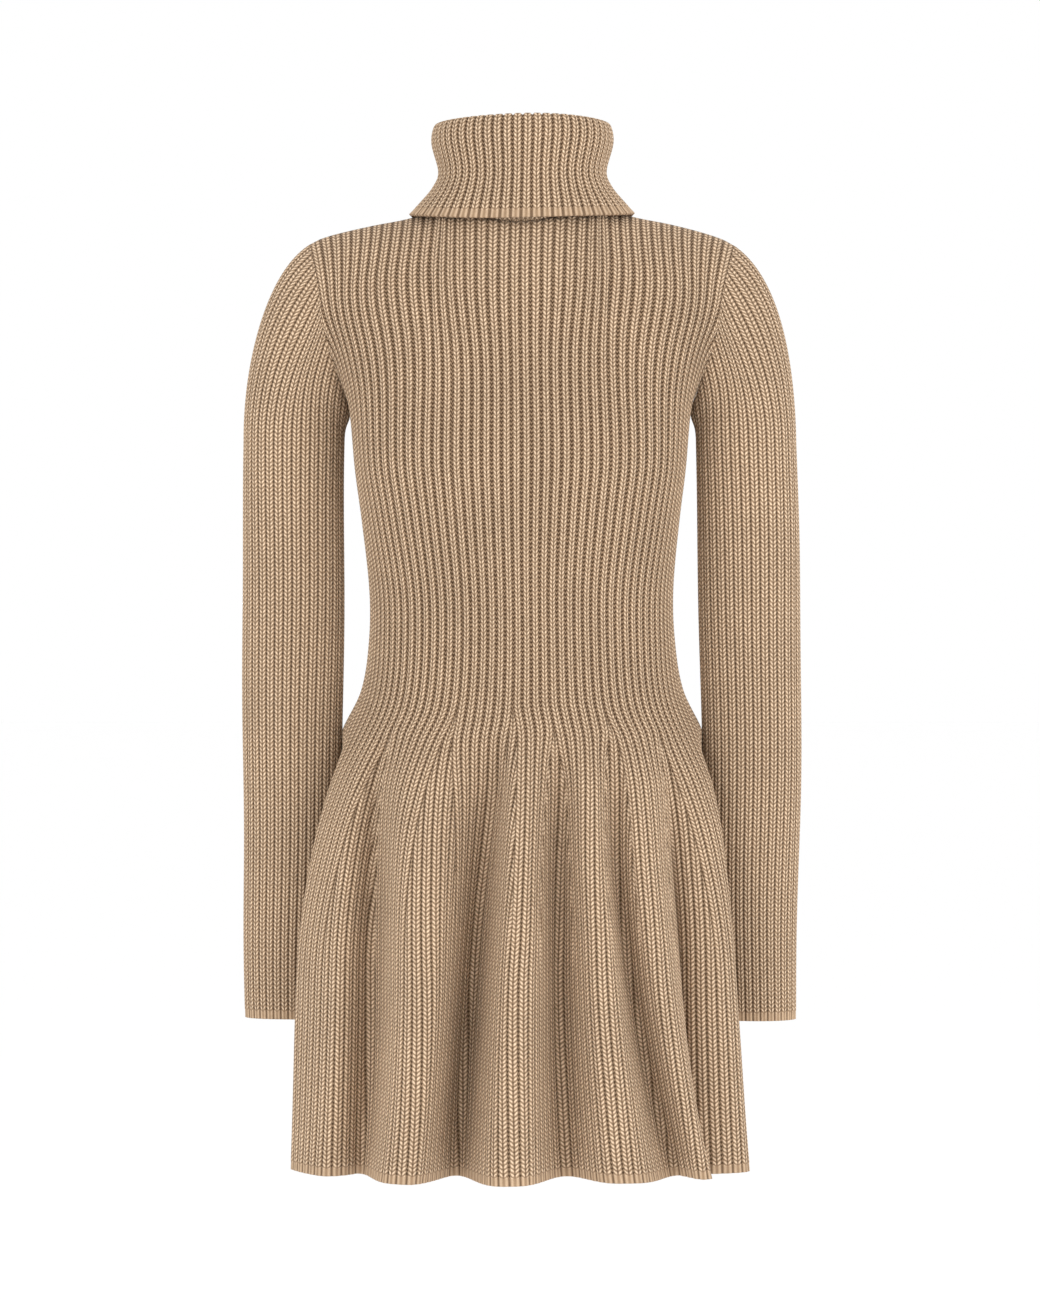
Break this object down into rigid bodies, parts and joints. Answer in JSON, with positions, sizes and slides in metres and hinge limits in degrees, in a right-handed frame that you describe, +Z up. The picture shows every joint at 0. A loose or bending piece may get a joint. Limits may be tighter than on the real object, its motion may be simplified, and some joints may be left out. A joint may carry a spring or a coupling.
{
  "type": "sweater dress",
  "caption": "Ribbed knit mini dress with a turned-down roll neck, long straight sleeves and a skirt that flares in gores, hollow as if worn.",
  "frame": {"origin": "middle of the neck base at the height of the shoulder points, where the wearer's shoulders hold the dress", "axes": "+Z up along the wearer's back, -Y to the front of the dress, +X to the wearer's left"},
  "size_m": [0.469, 0.3005, 0.874],
  "materials": {
    "knit": "matt wool-blend yarn, knitted in ribs along every piece"
  },
  "bodies": {
    "root": {"front": "knit", "back": "knit", "sleeve_left": "knit", "sleeve_right": "knit", "collar": "knit"}
  },
  "joints": []
}
